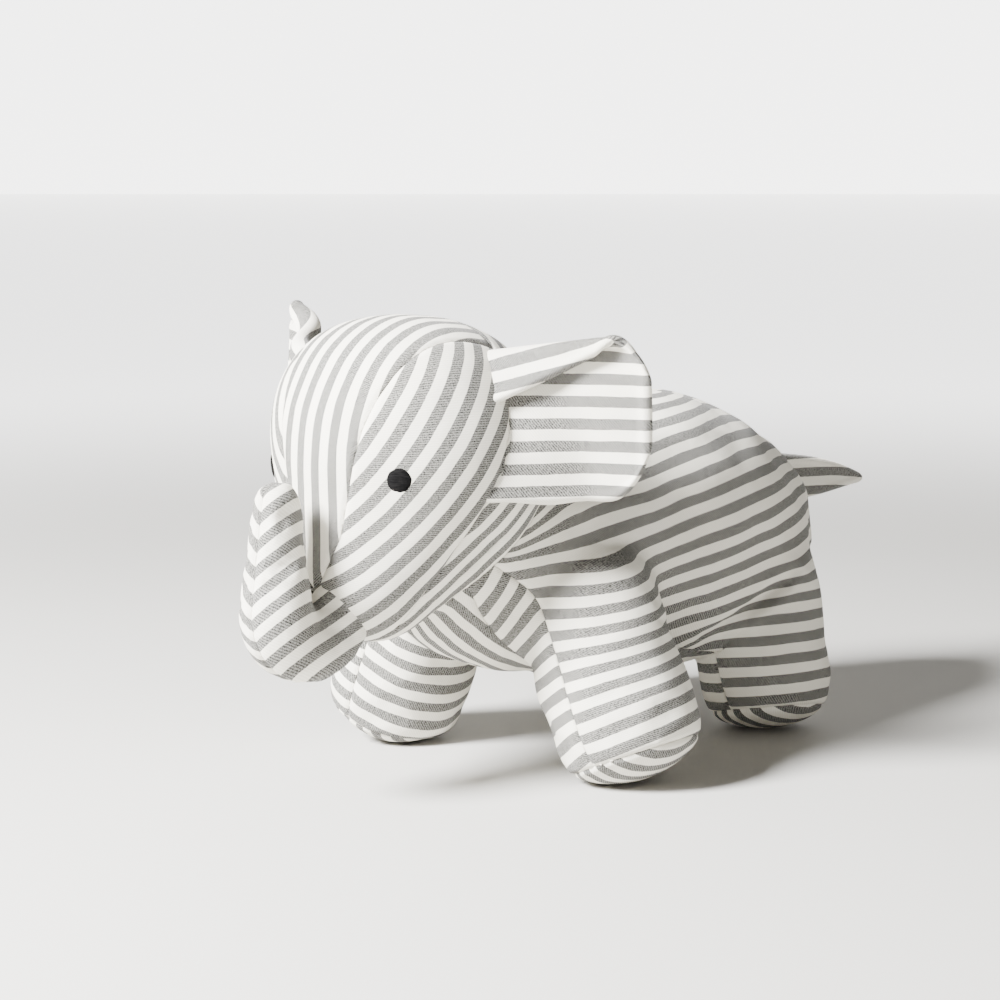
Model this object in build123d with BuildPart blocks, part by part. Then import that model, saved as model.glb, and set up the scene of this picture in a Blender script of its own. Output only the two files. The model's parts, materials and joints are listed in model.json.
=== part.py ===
from build123d import *
from math import asin, cos, radians, sin
import os

# Stuffed toy elephant sewn from striped cotton cloth. Millimetres.
# The toy looks along -Y, its left side is +X, it stands on z = 0.

# ---------------------------------------------------------------- driving sizes
BODY_WIDTH = 120.0          # widest, across the belly
BODY_HEIGHT = 124.0         # tallest section of the body alone
BODY_LENGTH = 223.0         # neck seam to rump
CLOTH = 1.2                 # cotton twill with its iron-on backing
EASE = 0.2                  # stuffing stays this far inside the cloth
SEAM_GAP = 0.3              # between pieces that move apart
HINGE_GAP = 3.2             # room for a folded ear to turn at its seam
TAIL_GAP = 1.6

HEAD_RADIUS = 56.0
HEAD_FORWARD = 26.0         # of the neck seam's middle to the head's centre
HEAD_RISE = 23.0
SNOUT_RADIUS = 31.0
SNOUT_REACH = 51.0          # from the head's centre to the snout's centre
SNOUT_DROP = 59.8           # degrees that the snout points below level

NECK_POINT = (0.0, -86.6, 115.0)
NECK_TILT = 40.0            # degrees the neck seam leans back at the top
NECK_BAND = 10.0            # width of the cloth band between head and body
EAR_SEAM_FORWARD = 34.0     # the seam that holds the ears, in front of the neck seam's middle
EAR_SEAM_LEAN = 19.8        # degrees that this seam leans back at the top
EAR_FORWARD = 20.0          # of the neck seam's middle to the ear's root
GUSSET_HALF = 10.0          # half width of the forehead gusset where the trunk starts
GUSSET_FLARE = (0.113, 0.218)  # how its seams lean out, towards the back and the top

FRONT_LEG = {"spread": 0.592, "along": 31.0, "rim_z": 12.5, "splay": 22.4, "rake": 1.8,
             "rim_r": 31.0, "top_r": 29.0, "length": 62.0, "bulge": 10.5, "seam_top": 100.0}
REAR_LEG = {"spread": 0.383, "along": 153.0, "rim_z": 9.0, "splay": 11.6, "rake": -7.0,
            "rim_r": 29.0, "top_r": 28.0, "length": 58.0, "bulge": 9.0, "seam_top": 78.0}
BELLY_AT_NECK = 30.0         # half width of the belly panel at its two ends
BELLY_AT_RUMP = 4.0
BELLY_SPLIT = 66.6          # from the neck seam to where the front and rear leg panels meet

TRUNK_RADIUS = 14.0
TRUNK_TIP_RADIUS = 8.6
TRUNK_BEND = 15.2           # radius of the centre line where it curls up
TRUNK_REACH = 3.95          # of the curl's centre in front of the snout
TRUNK_DROP = 10.9           # of the curl's centre below the snout's
TRUNK_RISE = 42.5           # straight tapering length above the curl
TRUNK_ROOT_GAP = 1.9

EAR_REACH = 61.0
EAR_SWEEP = 28.0            # degrees the ear leans back from straight out
EAR_INLET = 11.0            # of the ear's root inside the head's widest part
EAR_HEIGHT = 65.0
EAR_LOW = 16.0              # of the ear's lowest edge below the head's centre
EAR_FLAP = 18.7             # height of the folded top at the head
EAR_FOLD_DEPTH = 5.4        # how far the folded top stands forward

TAIL_LENGTH = 81.0          # from inside the rump to the tip
TAIL_INLET = 15.0           # of its root inside the rump's end
TAIL_HEIGHT = 25.0          # at the root
EYE_RADIUS = 5.2
EYE_RISE = 0.6
EYE_SPOT = Vector(0.611, -0.750, -0.082)  # from the head's centre, in head radii

# ------------------------------------------------------------- derived geometry
NECK_Y = NECK_POINT[1]
RUMP_Y = NECK_Y + BODY_LENGTH
HEAD_CENTRE = (0.0, NECK_Y - HEAD_FORWARD, NECK_POINT[2] + HEAD_RISE)
EAR_ROOT = (HEAD_RADIUS - EAR_INLET, NECK_Y - EAR_FORWARD)
EAR_BOTTOM = HEAD_CENTRE[2] - EAR_LOW
EAR_TOP = EAR_BOTTOM + EAR_HEIGHT
HEADWARD = Vector(0, -cos(radians(NECK_TILT)), sin(radians(NECK_TILT)))
NECK_PLANE = Plane(origin=NECK_POINT, x_dir=(1, 0, 0), z_dir=HEADWARD)
HEAD_PLANE = NECK_PLANE.offset(NECK_BAND)
SNOUT_DIR = Vector(0, -cos(radians(SNOUT_DROP)), -sin(radians(SNOUT_DROP)))
SNOUT_CENTRE = Vector(*HEAD_CENTRE) + SNOUT_DIR * SNOUT_REACH
BEND_CENTRE = SNOUT_CENTRE - Vector(0, SNOUT_RADIUS + TRUNK_REACH, TRUNK_DROP)
BELLY_Y = NECK_Y + BELLY_SPLIT
BELLY_FROM_Y = NECK_Y - 30  # where the belly panel's two end widths are measured
BELLY_TO_Y = RUMP_Y
MIDDLE = Plane.YZ

# Along the body from the neck seam: share of the length, centre height, share of
# the half width, share of the half height, lean of the section in degrees.
BODY_SECTIONS = [
    (-0.009, 112.7, 0.733, 0.758, NECK_TILT),
    (0.126, 97.0, 0.867, 0.903, 20.0),
    (0.296, 91.5, 0.967, 0.935, 5.0),
    (0.498, 93.0, 1.000, 1.000, 0.0),
    (0.677, 92.0, 0.950, 0.935, 0.0),
    (0.825, 88.5, 0.760, 0.790, 0.0),
    (0.928, 90.0, 0.500, 0.560, 0.0),
    (0.991, 92.0, 0.215, 0.240, 0.0),
]


def cap(radius, edge, apex):
    """Arc of a ball from a rim at height edge to its apex on the axis."""
    rise = abs(apex - edge)
    up = 1 if apex > edge else -1
    ball = (radius ** 2 + rise ** 2) / (2 * rise)
    half = asin(radius / ball) / 2
    middle = (ball * sin(half), apex - up * (ball - ball * cos(half)))
    return ThreePointArc((radius, edge), middle, (0, apex))


def barrel(grow):
    """The body's stuffed volume, every surface moved outwards by grow."""
    rings = []
    for share, height, wide, tall, lean in BODY_SECTIONS:
        y = NECK_Y + share * BODY_LENGTH
        if share > 0.95:
            y += grow
        normal = (0, -cos(radians(lean)), sin(radians(lean)))
        ring = Plane(origin=(0, y, height), x_dir=(1, 0, 0), z_dir=normal)
        rings.append(ring * Ellipse(wide * BODY_WIDTH / 2 + grow, tall * BODY_HEIGHT / 2 + grow))
    return loft(rings)


def egg(grow):
    """The head: a ball drawn out to the smaller ball of the snout."""
    big = HEAD_RADIUS + grow
    small = SNOUT_RADIUS + grow
    side = asin((HEAD_RADIUS - SNOUT_RADIUS) / SNOUT_REACH)
    waist = (cos(side), sin(side))
    line = ThreePointArc((0, -big), (big * cos(-0.3), big * sin(-0.3)), (big * waist[0], big * waist[1]))
    line += Line((big * waist[0], big * waist[1]), (small * waist[0], SNOUT_REACH + small * waist[1]))
    line += cap(small * waist[0], SNOUT_REACH + small * waist[1], SNOUT_REACH + small)
    line += Line((0, SNOUT_REACH + small), (0, -big))
    across = Plane(origin=HEAD_CENTRE, x_dir=(1, 0, 0), z_dir=Vector(1, 0, 0).cross(SNOUT_DIR))
    return revolve(across * make_face(line), Axis(HEAD_CENTRE, SNOUT_DIR))


def leg_frame(leg, side):
    """Plane on the sole seam: its z axis points down the leg."""
    x = side * leg["spread"] * BODY_WIDTH
    y = NECK_Y + leg["along"]
    down = Vector(side * sin(radians(leg["splay"])), sin(radians(leg["rake"])), -cos(radians(leg["splay"])))
    return Plane(origin=(x, y, leg["rim_z"]), x_dir=(0, 1, 0), z_dir=down)


def leg_solid(leg, side, grow, past_rim, domed):
    """One leg from its rounded hip to the sole seam, and over the sole when domed."""
    rim = leg["rim_r"] + grow
    top = leg["top_r"] + grow
    crown = leg["length"] + top * 0.85
    line = cap(top, -leg["length"], -crown)
    line += Line((top, -leg["length"]), (rim, past_rim))
    if domed:
        deep = past_rim + leg["bulge"] + grow
        line += cap(rim, past_rim, deep)
    else:
        deep = past_rim
        line += Line((rim, past_rim), (0, past_rim))
    line += Line((0, deep), (0, -crown))
    seat = leg_frame(leg, side)
    across = Plane(origin=seat.origin, x_dir=seat.x_dir, z_dir=seat.x_dir.cross(seat.z_dir))
    return revolve(across * make_face(line), Axis(seat.origin, seat.z_dir))


def above_floor(height):
    """All the room above a level."""
    return Pos(0, 0, height) * Box(700, 700, 300, align=(Align.CENTER, Align.CENTER, Align.MIN))


def leg_seam_prism(leg, start, end):
    """Room under the body between the seams that run down the legs."""
    foot = leg["spread"] * BODY_WIDTH
    slope = sin(radians(leg["splay"])) / cos(radians(leg["splay"]))
    low = foot + slope * (leg["rim_z"] + 8)
    top = leg["seam_top"]
    high = foot - slope * (top - leg["rim_z"])
    outline = Polygon((-low, -8), (low, -8), (high, top), (-high, top), align=None)
    wall = Plane(origin=(0, start, 0), x_dir=(1, 0, 0), z_dir=(0, -1, 0))
    return extrude(wall * outline, amount=-(end - start))


def trunk_solid(grow):
    """The trunk: a curl that turns up into a tapering tube with a round tip."""
    y, z = BEND_CENTRE.Y, BEND_CENTRE.Z
    thick = TRUNK_RADIUS + grow
    tip = TRUNK_TIP_RADIUS + grow
    root = Plane(origin=(0, y + TRUNK_BEND, z), x_dir=(1, 0, 0), z_dir=(0, 0, 1))
    curl = revolve(root * Circle(thick), Axis((0, y, z), (-1, 0, 0)), 180)
    line = Line((0, 0), (thick, 0))
    line += Line((thick, 0), (tip, TRUNK_RISE))
    line += cap(tip, TRUNK_RISE, TRUNK_RISE + tip)
    line += Line((0, TRUNK_RISE + tip), (0, 0))
    up = Plane(origin=(0, y - TRUNK_BEND, z), x_dir=(1, 0, 0), z_dir=(0, -1, 0))
    rise = revolve(up * make_face(line), Axis((0, y - TRUNK_BEND, z), (0, 0, 1)))
    return curl + rise


def ear_plane():
    """Plane of the left ear: x runs outwards, y runs up, z faces forwards."""
    out = Vector(cos(radians(EAR_SWEEP)), sin(radians(EAR_SWEEP)), 0)
    return Plane(origin=(EAR_ROOT[0], EAR_ROOT[1], 0), x_dir=out, z_dir=out.cross(Vector(0, 0, 1)))


def ear_points(inset):
    """Outline of the spread ear, drawn in by inset."""
    top = EAR_TOP - inset
    low = EAR_BOTTOM + inset
    far = EAR_REACH - inset
    return [
        (-12, low + 2.5),
        (far * 0.2, low),
        (far * 0.53, low + 0.6),
        (far * 0.89, low + 8.5),
        (far, top - 42),
        (far, top - 26),
        (far * 0.935, top - 10),
        (far * 0.76, top),
        (-12, top - 7.3),
    ]


def ear_layer(front):
    """One cloth layer of the left ear with its top folded forwards."""
    step = 1 if front else 0
    inset = (CLOTH + EASE) * step
    plane = ear_plane()
    low_w = EASE / 2 if front else -CLOTH - EASE / 2
    flap_w = EAR_FOLD_DEPTH - CLOTH - (CLOTH + EASE) * step
    sheet = extrude(plane.offset(low_w) * Polygon(*ear_points(inset), align=None), amount=CLOTH)
    top = EAR_TOP - inset
    reach = EAR_REACH * 0.72
    crease = [(-12, top - 7.3 - CLOTH), (reach, top - CLOTH), (reach, top), (-12, top - 7.3)]
    ridge = extrude(plane.offset(low_w) * Polygon(*crease, align=None), amount=flap_w + CLOTH - low_w)
    hem = top - 7.3 - EAR_FLAP
    flap = [(-12, hem), (2, hem + 2), (reach, top - CLOTH), (reach, top), (-12, top - 7.3)]
    fold = extrude(plane.offset(flap_w) * Polygon(*flap, align=None), amount=CLOTH)
    return sheet + ridge + fold


# -------------------------------------------------------------- shared volumes
LEGS = {
    "front_left": (FRONT_LEG, 1),
    "front_right": (FRONT_LEG, -1),
    "rear_left": (REAR_LEG, 1),
    "rear_right": (REAR_LEG, -1),
}
SIDES = {"left": 1, "right": -1}

body_outside = barrel(0)
body_inside = barrel(-CLOTH)
for leg, side in LEGS.values():
    body_outside += leg_solid(leg, side, 0, 0, False)
    body_inside += leg_solid(leg, side, -CLOTH, 4, False)

head_outside = egg(0)
head_lining = egg(-CLOTH)
head_keepout = egg(HINGE_GAP)
head_filling = egg(-CLOTH - EASE)
eye_limit = egg(EYE_RISE)
body_filling = barrel(-CLOTH - EASE)
rump_keepout = barrel(TAIL_GAP)
trunk_keepout = Pos(SNOUT_CENTRE) * Sphere(SNOUT_RADIUS + TRUNK_ROOT_GAP)
trunk_outside = trunk_solid(0)
trunk_lining = trunk_solid(-CLOTH)
trunk_filling = trunk_solid(-CLOTH - EASE)
front_room = leg_seam_prism(FRONT_LEG, NECK_Y - 60, BELLY_Y)
rear_room = leg_seam_prism(REAR_LEG, BELLY_Y, RUMP_Y)
under_room = front_room + rear_room
floor_room = above_floor(0)

with BuildPart() as body_skin:
    add(body_outside)
    add(body_inside, mode=Mode.SUBTRACT)
    split(bisect_by=NECK_PLANE, keep=Keep.BOTTOM)

with BuildPart() as head_skin:
    add(head_outside)
    add(head_lining, mode=Mode.SUBTRACT)
    split(bisect_by=HEAD_PLANE.offset(SEAM_GAP / 2), keep=Keep.TOP)

pieces = {}

# ------------------------------------------------------------------------- head
gusset_seam = {}
for name, side in SIDES.items():
    normal = Vector(side, -GUSSET_FLARE[0], -GUSSET_FLARE[1])
    start = SNOUT_CENTRE + Vector(side * GUSSET_HALF, -36.35, 4.08)
    gusset_seam[name] = Plane(origin=start, x_dir=(0, 1, 0), z_dir=normal)

lean = radians(EAR_SEAM_LEAN)
ear_seam = Plane(
    origin=(0, NECK_Y - EAR_SEAM_FORWARD, HEAD_CENTRE[2] - 4),
    x_dir=(1, 0, 0),
    z_dir=(0, cos(lean), -sin(lean)),
)
with BuildPart() as head_back:
    add(head_skin.part)
    split(bisect_by=ear_seam, keep=Keep.TOP)
pieces["head_back"] = head_back

with BuildPart() as forehead_gusset:
    add(head_skin.part)
    split(bisect_by=ear_seam, keep=Keep.BOTTOM)
    split(bisect_by=gusset_seam["left"], keep=Keep.BOTTOM)
    split(bisect_by=gusset_seam["right"], keep=Keep.BOTTOM)
pieces["forehead_gusset"] = forehead_gusset

for name, side in SIDES.items():
    with BuildPart() as head_side:
        add(head_skin.part)
        split(bisect_by=ear_seam, keep=Keep.BOTTOM)
        split(bisect_by=gusset_seam[name], keep=Keep.TOP)
        split(bisect_by=MIDDLE, keep=Keep.TOP if side > 0 else Keep.BOTTOM)
    pieces["head_side_" + name] = head_side

with BuildPart() as head_stuffing:
    add(head_filling)
    split(bisect_by=HEAD_PLANE.offset(SEAM_GAP / 2), keep=Keep.TOP)
pieces["head_stuffing"] = head_stuffing

for name, side in SIDES.items():
    spot = Vector(*HEAD_CENTRE) + Vector(side * EYE_SPOT.X, EYE_SPOT.Y, EYE_SPOT.Z) * HEAD_RADIUS
    axis_at = Vector(*HEAD_CENTRE) + SNOUT_DIR * (SNOUT_DIR.dot(spot - Vector(*HEAD_CENTRE)))
    outward = (spot - axis_at).normalized()
    with BuildPart() as eye:
        with BuildSketch(Plane(origin=spot - outward * 6, z_dir=outward)):
            Circle(EYE_RADIUS)
        extrude(amount=14)
        add(eye_limit, mode=Mode.INTERSECT)
        add(head_outside, mode=Mode.SUBTRACT)
    pieces["eye_" + name] = eye

# ------------------------------------------------------------------------- neck
with BuildPart() as neck_band:
    add(head_outside)
    add(head_lining, mode=Mode.SUBTRACT)
    split(bisect_by=HEAD_PLANE.offset(-SEAM_GAP / 2), keep=Keep.BOTTOM)
    split(bisect_by=NECK_PLANE.offset(SEAM_GAP / 2), keep=Keep.TOP)
pieces["neck_band"] = neck_band

with BuildPart() as neck_stuffing:
    add(head_filling)
    split(bisect_by=HEAD_PLANE.offset(-SEAM_GAP / 2), keep=Keep.BOTTOM)
    split(bisect_by=NECK_PLANE.offset(SEAM_GAP / 2), keep=Keep.TOP)
pieces["neck_stuffing"] = neck_stuffing

# ------------------------------------------------------------------------ trunk
for name, side in SIDES.items():
    with BuildPart() as trunk_panel:
        add(trunk_outside)
        add(trunk_lining, mode=Mode.SUBTRACT)
        add(trunk_keepout, mode=Mode.SUBTRACT)
        split(bisect_by=MIDDLE, keep=Keep.TOP if side > 0 else Keep.BOTTOM)
    pieces["trunk_" + name] = trunk_panel

with BuildPart() as trunk_stuffing:
    add(trunk_filling)
    add(trunk_keepout, mode=Mode.SUBTRACT)
pieces["trunk_stuffing"] = trunk_stuffing

# ------------------------------------------------------------------------- ears
for face in ("front", "back"):
    layer = ear_layer(face == "front")
    with BuildPart() as left_ear:
        add(layer)
        add(head_keepout, mode=Mode.SUBTRACT)
    with BuildPart() as right_ear:
        add(left_ear.part)
        mirror(about=MIDDLE, mode=Mode.REPLACE)
    pieces["ear_left_" + face] = left_ear
    pieces["ear_right_" + face] = right_ear

# ------------------------------------------------------------------------- body
for name, side in SIDES.items():
    with BuildPart() as body_side:
        add(body_skin.part)
        add(front_room, mode=Mode.SUBTRACT)
        add(rear_room, mode=Mode.SUBTRACT)
        split(bisect_by=MIDDLE, keep=Keep.TOP if side > 0 else Keep.BOTTOM)
    pieces["body_side_" + name] = body_side

belly_seam = {}
for name, side in SIDES.items():
    along = Vector(side * (BELLY_AT_RUMP - BELLY_AT_NECK), BELLY_TO_Y - BELLY_FROM_Y, 0).normalized()
    start = (side * BELLY_AT_NECK, BELLY_FROM_Y, 0)
    belly_seam[side] = Plane(origin=start, x_dir=(0, 0, 1), z_dir=(side * along.Y, -side * along.X, 0))

with BuildPart() as belly_panel:
    add(body_skin.part)
    add(under_room, mode=Mode.INTERSECT)
    split(bisect_by=belly_seam[1], keep=Keep.BOTTOM)
    split(bisect_by=belly_seam[-1], keep=Keep.BOTTOM)
pieces["belly_panel"] = belly_panel

for name, (leg, side) in LEGS.items():
    with BuildPart() as inner_leg:
        add(body_skin.part)
        add(front_room if leg is FRONT_LEG else rear_room, mode=Mode.INTERSECT)
        split(bisect_by=belly_seam[side], keep=Keep.TOP)
    pieces["inner_leg_" + name] = inner_leg

for name, (leg, side) in LEGS.items():
    rim_plane = leg_frame(leg, side)
    outer_sole = leg_solid(leg, side, 0, 0, True)
    inner_sole = leg_solid(leg, side, -CLOTH, 0, True) & above_floor(CLOTH)
    with BuildPart() as foot_sole:
        add(outer_sole)
        add(floor_room, mode=Mode.INTERSECT)
        add(inner_sole, mode=Mode.SUBTRACT)
        split(bisect_by=rim_plane, keep=Keep.TOP)
    pieces["foot_sole_" + name] = foot_sole

with BuildPart() as body_stuffing:
    add(body_filling)
    split(bisect_by=NECK_PLANE, keep=Keep.BOTTOM)
pieces["body_stuffing"] = body_stuffing

for name, (leg, side) in LEGS.items():
    leg_filling = leg_solid(leg, side, -CLOTH - EASE, 0, True) & above_floor(CLOTH + EASE)
    with BuildPart() as leg_stuffing:
        add(leg_filling)
        add(body_filling, mode=Mode.SUBTRACT)
    pieces["leg_stuffing_" + name] = leg_stuffing

# ------------------------------------------------------------------------- tail
tail_root = RUMP_Y - TAIL_INLET
tail_tip = tail_root + TAIL_LENGTH
tail_low = BODY_HEIGHT * 0.746
tail_outline = [
    (tail_root, tail_low + TAIL_HEIGHT),
    (tail_root + TAIL_LENGTH * 0.52, tail_low + TAIL_HEIGHT * 0.72),
    (tail_tip - 2.0, tail_low + 7.1),
    (tail_tip, tail_low + 5.9),
    (tail_tip - 2.5, tail_low + 4.7),
    (tail_root + TAIL_LENGTH * 0.54, tail_low + 1.1),
    (tail_root + 12, tail_low - 1.0),
    (tail_root, tail_low),
]
for name, side in SIDES.items():
    with BuildPart() as tail_layer:
        with BuildSketch(Plane.YZ.offset(0.05 * side)):
            Polygon(*tail_outline, align=None)
        extrude(amount=CLOTH * side)
        add(rump_keepout, mode=Mode.SUBTRACT)
    pieces["tail_" + name] = tail_layer

# ----------------------------------------------------------------------- export
os.makedirs("parts", exist_ok=True)
for name, piece in pieces.items():
    piece.part.label = name
    export_step(piece.part, "parts/" + name + ".step")
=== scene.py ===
import json
import math

import bmesh
import bpy
import numpy as np
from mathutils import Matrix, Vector
from mathutils.bvhtree import BVHTree
from mathutils.kdtree import KDTree


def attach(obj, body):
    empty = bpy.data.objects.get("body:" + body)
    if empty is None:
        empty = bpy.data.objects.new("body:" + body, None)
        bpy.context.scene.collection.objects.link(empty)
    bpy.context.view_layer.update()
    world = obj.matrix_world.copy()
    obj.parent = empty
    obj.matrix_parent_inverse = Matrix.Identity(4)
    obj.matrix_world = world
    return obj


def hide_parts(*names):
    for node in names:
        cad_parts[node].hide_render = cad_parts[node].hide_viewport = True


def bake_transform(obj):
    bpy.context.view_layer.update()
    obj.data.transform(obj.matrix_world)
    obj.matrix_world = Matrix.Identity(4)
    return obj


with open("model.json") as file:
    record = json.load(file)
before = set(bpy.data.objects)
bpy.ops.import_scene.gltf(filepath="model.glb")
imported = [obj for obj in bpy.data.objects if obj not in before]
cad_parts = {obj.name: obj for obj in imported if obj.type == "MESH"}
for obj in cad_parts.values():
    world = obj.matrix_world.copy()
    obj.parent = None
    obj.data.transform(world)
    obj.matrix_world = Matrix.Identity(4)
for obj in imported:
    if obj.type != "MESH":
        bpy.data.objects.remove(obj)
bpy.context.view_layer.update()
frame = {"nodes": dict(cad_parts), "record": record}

# All places and sizes are the CAD model's own; x runs to its left, y to its rear, z up.
MM = 0.001
FULL_TURN = 2 * math.pi
INSET = 1.4 * MM            # how far the filling lies inside the cloth's outer face
NECK = Vector((0, -86.6, 115.0)) * MM
HEADWARD = Vector((0, -math.cos(math.radians(40)), math.sin(math.radians(40))))
BAND = 10.0 * MM            # width of the cloth band between head and body
NECK_RADIUS = 47 * MM       # for the pattern round the neck
EAR_SEAM = Vector((0, -120.6, 134.0)) * MM
EAR_SEAM_BACK = Vector((0, math.cos(math.radians(19.8)), -math.sin(math.radians(19.8))))
GUSSET_POINT = Vector((10.0, -174.6, 98.0)) * MM
GUSSET_NORMAL = Vector((1, -0.113, -0.218)).normalized()
BELLY_Y = -20.0 * MM        # front and rear leg panels meet here
BELLY_START = -116.6 * MM
BELLY_HALF = 30.0 * MM
BELLY_TAPER = 26.0 / 253.0
LOW_GUSSET_POINT = Vector((11.8, -172.0, 106.5)) * MM
LOW_GUSSET_NORMAL = Vector((0.88, 0, -0.474)).normalized()
FEET = {
    "front": {"at": Vector((71.04, -55.6, 12.5)) * MM, "splay": 22.4, "rake": 1.8, "rim": 31.0 * MM,
              "top": 100.0 * MM},
    "rear": {"at": Vector((45.96, 66.4, 9.0)) * MM, "splay": 11.6, "rake": -7.0, "rim": 29.0 * MM,
             "top": 78.0 * MM},
}
PITCH = 8.8 * MM            # one grey and one pale stripe
STRIPE_RISE = math.radians(8)   # how much the body's stripes climb to the rear
VOXEL = 3.2 * MM
TRUNK_VOXEL = 1.9 * MM
SEAM_SNAP = 0.05 * MM
PANEL_CLOTH = 0.9 * MM
TRUNK_CLOTH = 0.8 * MM
EAR_CLOTH = 0.7 * MM
PANEL_TUCK = (0.85 * MM, 1.15 * MM, 0.16 * MM)   # depth, width, gathers
TRUNK_TUCK = (0.80 * MM, 1.10 * MM, 0.15 * MM)
PUFF_FRAMES = 20


# ------------------------------------------------------------------ mesh helpers
def new_object(name, mesh):
    obj = bpy.data.objects.new(name, mesh)
    bpy.context.scene.collection.objects.link(obj)
    return obj


def from_bmesh(name, bm):
    mesh = bpy.data.meshes.new(name)
    bm.to_mesh(mesh)
    bm.free()
    return new_object(name, mesh)


def coords(obj):
    co = np.zeros(len(obj.data.vertices) * 3)
    obj.data.vertices.foreach_get("co", co)
    return co.reshape(-1, 3)


def normals(obj):
    no = np.zeros(len(obj.data.vertices) * 3)
    obj.data.vertices.foreach_get("normal", no)
    return no.reshape(-1, 3)


def set_coords(obj, co):
    obj.data.vertices.foreach_set("co", np.asarray(co, float).ravel())
    obj.data.update()


def apply_modifiers(obj):
    graph = bpy.context.evaluated_depsgraph_get()
    mesh = bpy.data.meshes.new_from_object(obj.evaluated_get(graph))
    obj.modifiers.clear()
    old = obj.data
    obj.data = mesh
    bpy.data.meshes.remove(old)


def filling(names, grow):
    """The named fillings in one mesh, grown to the cloth's face."""
    bm = bmesh.new()
    for name in names:
        part = bmesh.new()
        part.from_mesh(frame["nodes"][name].data)
        bmesh.ops.remove_doubles(part, verts=part.verts, dist=0.02 * MM)
        bmesh.ops.recalc_face_normals(part, faces=part.faces)
        part.normal_update()
        moves = [v.normal * grow for v in part.verts]
        for v, move in zip(part.verts, moves):
            v.co += move
        scratch = bpy.data.meshes.new("scratch")
        part.to_mesh(scratch)
        part.free()
        bm.from_mesh(scratch)
        bpy.data.meshes.remove(scratch)
    return bm


def remesh(obj, size):
    mod = obj.modifiers.new("remesh", "REMESH")
    mod.mode = "VOXEL"
    mod.voxel_size = size
    apply_modifiers(obj)


def edge_pairs(obj):
    pairs = np.zeros(len(obj.data.edges) * 2, int)
    obj.data.edges.foreach_get("vertices", pairs)
    return pairs.reshape(-1, 2)


def relax(obj, rounds, weight):
    """Plain averaging, which fills hollows and rounds corners."""
    co = coords(obj)
    pairs = edge_pairs(obj)
    count = np.bincount(pairs.ravel(), minlength=len(co))[:, None]
    weight = np.broadcast_to(weight, (len(co),))[:, None]
    for step in range(rounds):
        total = np.zeros_like(co)
        for axis in range(3):
            total[:, axis] = np.bincount(pairs[:, 0], co[pairs[:, 1], axis], len(co))
            total[:, axis] += np.bincount(pairs[:, 1], co[pairs[:, 0], axis], len(co))
        co = co + (total / count - co) * 0.5 * weight
    set_coords(obj, co)


def mirrored(vector, sign):
    """The same place or direction on the left (1) or the right (-1)."""
    return Vector((vector.x * sign, vector.y, vector.z))


def ramp(x, low, high):
    t = np.clip((x - low) / (high - low), 0, 1)
    return t * t * (3 - 2 * t)


def foot_plane(which, side):
    foot = FEET[which]
    splay = math.radians(foot["splay"])
    rake = math.radians(foot["rake"])
    down = Vector((side * math.sin(splay), math.sin(rake), -math.cos(splay))).normalized()
    return mirrored(foot["at"], side), down, foot["rim"]


def leg_seam_normal(which, side):
    splay = math.radians(FEET[which]["splay"])
    return Vector((side * math.cos(splay), 0, math.sin(splay)))


def belly_half(y):
    return BELLY_HALF - (y - BELLY_START) * BELLY_TAPER


# ------------------------------------------------------------- the stuffed volume
def puff(obj, pinned, pressure, cap, slack):
    """Cloth under pressure, held along its seams."""
    group = obj.vertex_groups.new(name="seams")
    for index, value in enumerate(pinned):
        if value > 0.01:
            group.add([index], float(value), "REPLACE")
    before = coords(obj)
    mod = obj.modifiers.new("cloth", "CLOTH")
    settings = mod.settings
    settings.quality = 5
    settings.mass = 0.25
    settings.tension_stiffness = 20
    settings.compression_stiffness = 12
    settings.shear_stiffness = 6
    settings.bending_stiffness = 0.35
    settings.use_pressure = True
    settings.uniform_pressure_force = pressure
    settings.effector_weights.gravity = 0
    settings.vertex_group_mass = "seams"
    settings.pin_stiffness = 1.0
    settings.shrink_min = -slack
    mod.collision_settings.use_collision = False
    mod.point_cache.frame_start = 1
    mod.point_cache.frame_end = PUFF_FRAMES
    for step in range(1, PUFF_FRAMES + 1):
        bpy.context.scene.frame_set(step)
    apply_modifiers(obj)
    move = coords(obj) - before
    length = np.linalg.norm(move, axis=1)[:, None]
    move *= np.minimum(1, cap / np.maximum(length, 1e-9))
    set_coords(obj, before + move)
    obj.vertex_groups.clear()


LEG_NAMES = ["front_left", "front_right", "rear_left", "rear_right"]
FILLINGS = ["body_stuffing", "neck_stuffing", "head_stuffing"]
FILLINGS += ["leg_stuffing_" + name for name in LEG_NAMES]
doll = from_bmesh("doll", filling(FILLINGS, INSET))
remesh(doll, VOXEL)
p = coords(doll)
neck_off = (p - np.array(NECK)) @ np.array(HEADWARD)
on_body = ramp(-neck_off, -2 * MM, 14 * MM)
low = ramp(p[:, 2], 24 * MM, 62 * MM)
relax(doll, 16, on_body * low)
relax(doll, 3, 0.8)


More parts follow.
